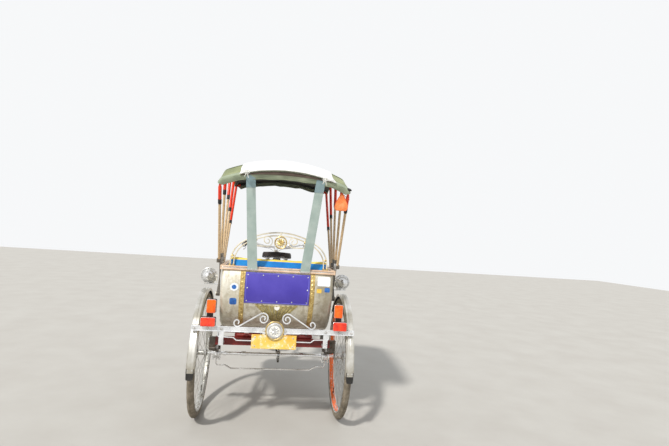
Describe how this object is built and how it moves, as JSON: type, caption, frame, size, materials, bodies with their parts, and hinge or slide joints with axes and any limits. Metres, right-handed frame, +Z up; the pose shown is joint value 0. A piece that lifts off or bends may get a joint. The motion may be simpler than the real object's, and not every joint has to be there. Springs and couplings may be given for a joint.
{
  "type": "cycle rickshaw",
  "caption": "Three-wheeled pedal rickshaw: passenger tub with folding hood on a sprung rear axle, bicycle front half with turning fork, wheels and cranks.",
  "frame": {"origin": "on the ground below the middle of the bounding box", "axes": "+X to the rider's right, +Y forward along the length, +Z up"},
  "size_m": [0.948, 2.5592, 1.5286],
  "materials": {
    "tyre": "worn",
    "wheel_chrome": "worn",
    "axle_steel": "bright",
    "body_tin": "weathered",
    "rim_paint": "worn",
    "seat_wood": "worn",
    "cushion_cloth": "matt",
    "trim_cream": "worn",
    "plate_violet": "satin",
    "trim_chrome": "worn",
    "plate_yellow": "worn",
    "frame_red": "worn",
    "spring_steel": "worn",
    "guard_steel": "worn",
    "lens_red": "glossy",
    "lens_orange": "glossy",
    "saddle_leather": "worn",
    "pedal_rubber": "matt",
    "chain_steel": "oily",
    "bow_wood": "varnished",
    "hood_cloth": "matt",
    "cover_cloth": "matt"
  },
  "bodies": {
    "carriage": {"body_shell": "body_tin", "body_rim": "rim_paint", "seat_box": "seat_wood", "seat_cushion": "cushion_cloth", "back_cushion": "cushion_cloth", "backrest_arch": "trim_cream", "sign_plate": "plate_violet", "bumper": "trim_chrome", "number_plate": "plate_yellow", "chassis_frame": "frame_red", "rear_cross_beam": "frame_red", "leaf_springs": "spring_steel", "axle_bearings": "trim_chrome", "mudguard_left": "guard_steel", "mudguard_right": "guard_steel", "side_lamps": "trim_chrome", "tail_lamps": "lens_red", "indicator_lamps": "lens_orange", "bicycle_frame": "frame_red", "saddle": "saddle_leather", "chain": "chain_steel"},
    "steering": {"fork": "frame_red", "handlebar": "trim_chrome", "front_mudguard": "guard_steel"},
    "front_road_wheel": {"front_tyre": "tyre", "front_wheel": "wheel_chrome"},
    "left_road_wheel": {"left_tyre": "tyre", "left_wheel": "wheel_chrome"},
    "right_road_wheel": {"right_tyre": "tyre", "right_wheel": "wheel_chrome", "rear_axle": "axle_steel"},
    "cranks": {"crankset": "trim_chrome"},
    "right_pedal": {"pedal_right": "pedal_rubber"},
    "left_pedal": {"pedal_left": "pedal_rubber"},
    "bow_1": {"hood_bow_1": "bow_wood", "hood_straps": "hood_cloth"},
    "bow_2": {"hood_bow_2": "bow_wood", "hood_panel_1": "hood_cloth", "hood_cover": "cover_cloth"},
    "bow_3": {"hood_bow_3": "bow_wood", "hood_panel_2": "hood_cloth"},
    "bow_4": {"hood_bow_4": "bow_wood", "hood_panel_3": "hood_cloth"},
    "bow_5": {"hood_bow_5": "bow_wood", "hood_panel_4": "hood_cloth"}
  },
  "joints": [
    {"name": "steering_turn", "type": "hinge", "parent": "carriage", "child": "steering", "pos_m": [0, 0.67503, 0.79624], "axis": [0, -0.3746, 0.9272], "range_deg": [-50, 50]},
    {"name": "front_wheel_roll", "type": "hinge", "parent": "steering", "child": "front_road_wheel", "pos_m": [0, 0.9226, 0.357], "axis": [1, 0, 0], "continuous": true},
    {"name": "left_wheel_roll", "type": "hinge", "parent": "carriage", "child": "left_road_wheel", "pos_m": [-0.414, -0.6974, 0.357], "axis": [1, 0, 0], "continuous": true},
    {"name": "right_wheel_roll", "type": "hinge", "parent": "carriage", "child": "right_road_wheel", "pos_m": [0.414, -0.6974, 0.357], "axis": [1, 0, 0], "continuous": true},
    {"name": "crank_turn", "type": "hinge", "parent": "carriage", "child": "cranks", "pos_m": [0, 0.2726, 0.3], "axis": [1, 0, 0], "continuous": true},
    {"name": "right_pedal_turn", "type": "hinge", "parent": "cranks", "child": "right_pedal", "pos_m": [0.126, 0.4376, 0.3], "axis": [1, 0, 0], "continuous": true},
    {"name": "left_pedal_turn", "type": "hinge", "parent": "cranks", "child": "left_pedal", "pos_m": [-0.126, 0.1076, 0.3], "axis": [1, 0, 0], "continuous": true},
    {"name": "hood_fold", "type": "hinge", "parent": "carriage", "child": "bow_1", "pos_m": [0, -0.9174, 0.74], "axis": [1, 0, 0], "range_deg": [0, 53.17], "deforming": ["hood_straps"]},
    {"name": "hood_fold_2", "type": "hinge", "parent": "bow_1", "child": "bow_2", "pos_m": [0, -0.9174, 0.74], "axis": [1, 0, 0], "range_deg": [0, 14.74], "deforming": ["hood_panel_1", "hood_cover"]},
    {"name": "hood_fold_3", "type": "hinge", "parent": "bow_2", "child": "bow_3", "pos_m": [0, -0.9174, 0.74], "axis": [1, 0, 0], "range_deg": [0, 16.92], "deforming": ["hood_panel_2"]},
    {"name": "hood_fold_4", "type": "hinge", "parent": "bow_3", "child": "bow_4", "pos_m": [0, -0.9174, 0.74], "axis": [1, 0, 0], "range_deg": [0, 11.81], "deforming": ["hood_panel_3"]},
    {"name": "hood_fold_5", "type": "hinge", "parent": "bow_4", "child": "bow_5", "pos_m": [0, -0.9174, 0.74], "axis": [1, 0, 0], "range_deg": [0, 7.14], "deforming": ["hood_panel_4"]}
  ],
  "couplings": [
    {"joint": "hood_fold_2", "follows": "hood_fold", "ratio": 0.2771},
    {"joint": "hood_fold_3", "follows": "hood_fold", "ratio": 0.3181},
    {"joint": "hood_fold_4", "follows": "hood_fold", "ratio": 0.2221},
    {"joint": "hood_fold_5", "follows": "hood_fold", "ratio": 0.1343}
  ]
}
